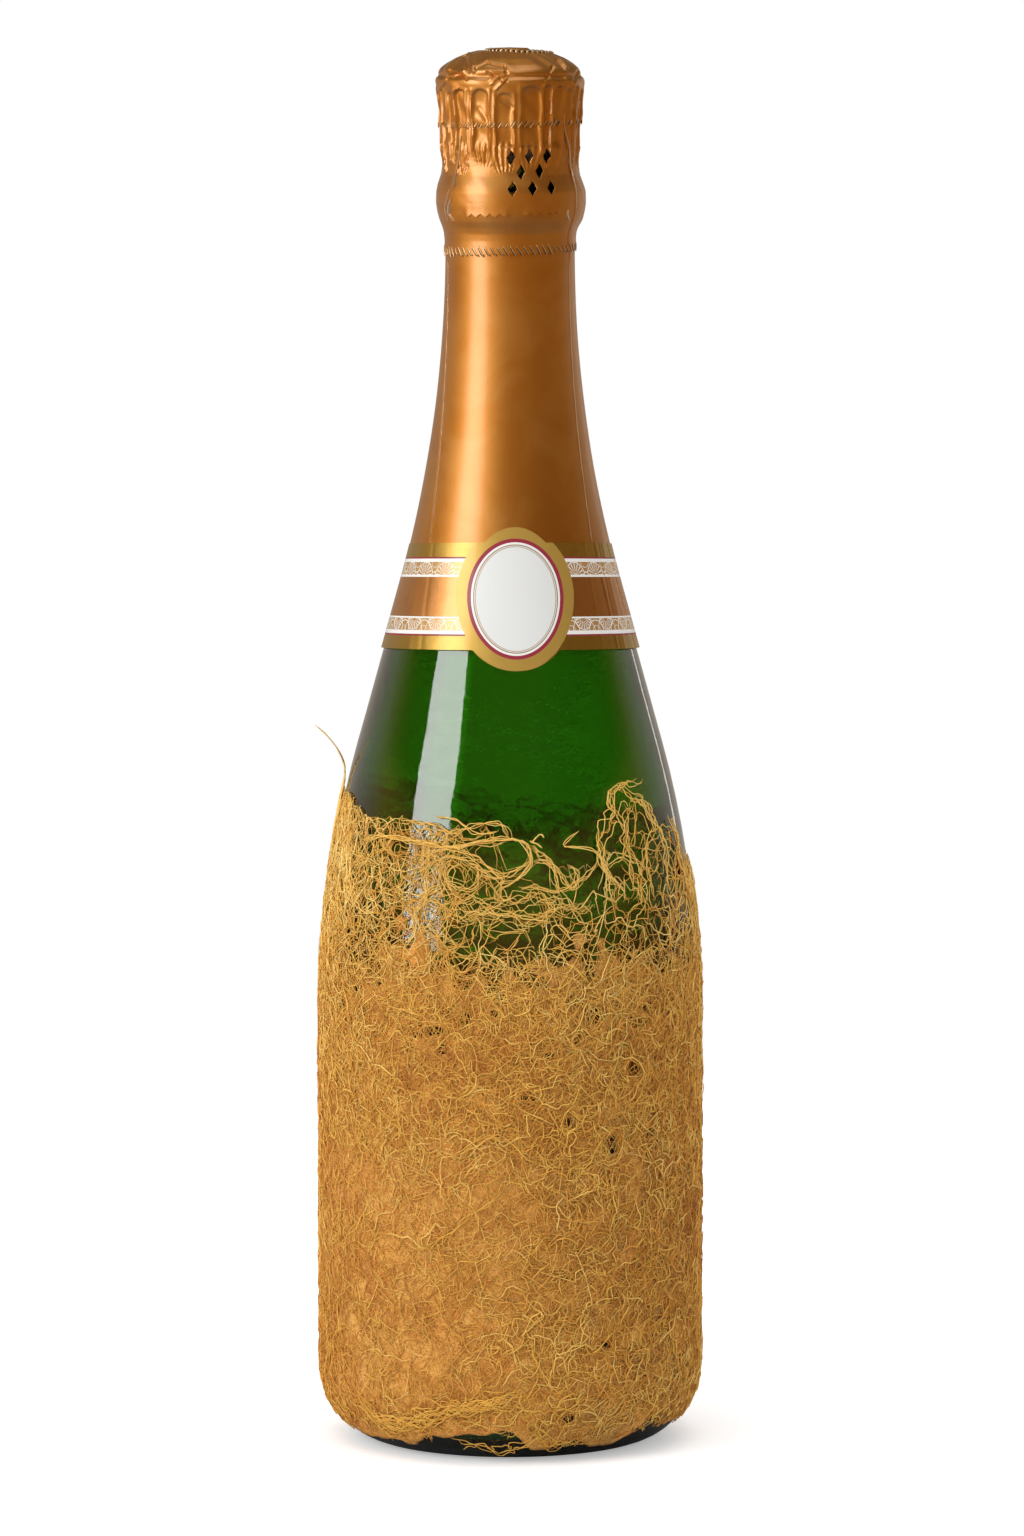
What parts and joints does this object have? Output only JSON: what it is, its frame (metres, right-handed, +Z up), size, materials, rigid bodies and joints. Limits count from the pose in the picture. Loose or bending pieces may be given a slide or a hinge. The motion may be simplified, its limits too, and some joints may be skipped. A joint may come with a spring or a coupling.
{
  "type": "champagne bottle",
  "caption": "Sealed champagne bottle with cork, wire cage, pleated foil hood, foil neck, collar label with oval medallion, and a felted fibre wrap.",
  "frame": {"origin": "centre of the standing ring, on the surface that the bottle stands on", "axes": "+Z up along the bottle's axis to the top of the hood; -Y is the front, where the medallion is; +X is to the right of the front"},
  "size_m": [0.09, 0.09, 0.3259],
  "materials": {
    "green_glass": "thick dark green bottle glass, polished, with reeded bearing ring under the base",
    "wine": "pale gold sparkling wine",
    "agglomerated_cork": "cork granules bonded together, matt",
    "natural_cork": "natural cork with small pores, matt",
    "tin_plate": "pressed tin plate, satin",
    "galvanised_wire": "bright galvanised steel wire",
    "copper_foil": "copper-gold lacquered foil, satin with fine orange peel",
    "label_paper": "gloss coated paper with gold, red and white printed borders",
    "golden_fibre": "curly golden plant fibres felted into a thin mat"
  },
  "bodies": {
    "bottle": {"glass_bottle": "green_glass", "wine": "wine", "foil_skirt": "copper_foil", "neck_label": "label_paper", "fibre_wrap": "golden_fibre"},
    "cork": {"cork_body": "agglomerated_cork", "cork_disc_upper": "natural_cork", "cork_disc_lower": "natural_cork"},
    "muselet": {"muselet_plaque": "tin_plate", "muselet_cage": "galvanised_wire", "muselet_belt": "galvanised_wire"},
    "loop": {"muselet_loop": "galvanised_wire"},
    "foil_top": {"foil_hood": "copper_foil", "foil_tear_band": "copper_foil"}
  },
  "joints": [
    {"name": "cork_pull", "type": "slide", "parent": "bottle", "child": "cork", "axis": [0, 0, 1], "range_m": [0, 0.045]},
    {"name": "cage_lift", "type": "slide", "parent": "cork", "child": "muselet", "axis": [0, 0, 1], "range_m": [0, 0.05], "deforming": ["muselet_cage", "muselet_belt"]},
    {"name": "hood_lift", "type": "slide", "parent": "muselet", "child": "foil_top", "axis": [0, 0, 1], "range_m": [0, 0.06], "deforming": ["foil_tear_band"]},
    {"name": "loop_swing", "type": "hinge", "parent": "muselet", "child": "loop", "pos_m": [0.0149, 0, 0.2874], "axis": [0, 1, 0], "range_deg": [0, 120]}
  ]
}
